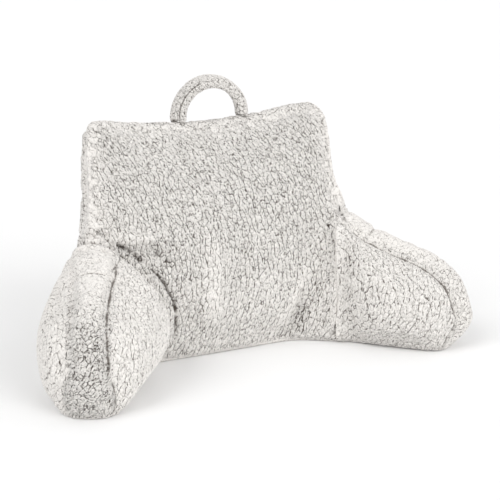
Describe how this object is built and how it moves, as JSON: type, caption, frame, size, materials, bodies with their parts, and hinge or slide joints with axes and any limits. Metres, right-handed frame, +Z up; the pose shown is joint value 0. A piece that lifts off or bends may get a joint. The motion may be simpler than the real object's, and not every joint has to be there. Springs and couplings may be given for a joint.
{
  "type": "reading pillow with arms",
  "caption": "Stuffed fleece reading pillow: a crowned backrest with a boxed edge, a rounded arm on each side and a padded strap handle on top.",
  "frame": {"origin": "middle of the footprint, on the surface that the pillow stands on", "axes": "+X to the right as seen from the front, +Y towards the back, +Z up; the sitter leans towards +Y"},
  "size_m": [0.7896, 0.3608, 0.4735],
  "materials": {
    "fleece": "warm off-white curly fleece, matt, with small dense curls parted by thin dark crevices"
  },
  "bodies": {
    "root": {"backrest": "fleece", "arm_left": "fleece", "arm_right": "fleece", "handle": "fleece"}
  },
  "joints": []
}
